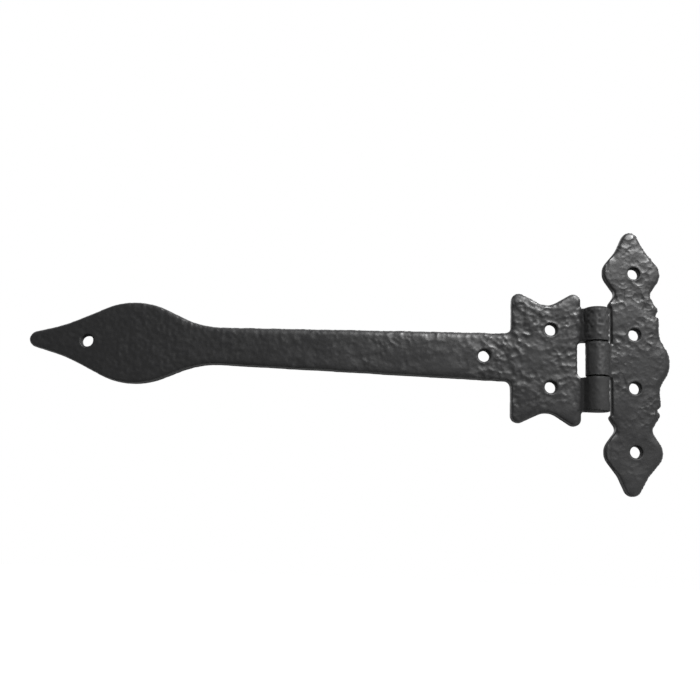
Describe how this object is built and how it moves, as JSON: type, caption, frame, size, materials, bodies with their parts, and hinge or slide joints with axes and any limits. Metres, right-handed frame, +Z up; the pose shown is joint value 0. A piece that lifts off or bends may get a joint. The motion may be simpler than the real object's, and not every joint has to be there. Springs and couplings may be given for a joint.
{
  "type": "strap hinge",
  "caption": "Cast strap hinge: a spear-tipped strap leaf with a lobed star plate turns on a pin in a tall double-spear frame leaf.",
  "frame": {"origin": "on the frame leaf's back face, midway between its two middle screw holes", "axes": "+Z up along the pin, the front faces -Y, the strap runs towards -X, and both leaves lie against the plane Y = 0"},
  "size_m": [0.3191, 0.012, 0.1332],
  "materials": {
    "leaves": "satin black powder coat over a hammered casting",
    "pin": "satin black"
  },
  "bodies": {
    "frame": {"frame_leaf": "leaves"},
    "strap": {"strap_leaf": "leaves", "hinge_pin": "pin"}
  },
  "joints": [
    {"name": "strap_swing", "type": "hinge", "parent": "frame", "child": "strap", "pos_m": [-0.0191, -0.006, 0], "axis": [0, 0, 1], "range_deg": [0, 180]}
  ]
}
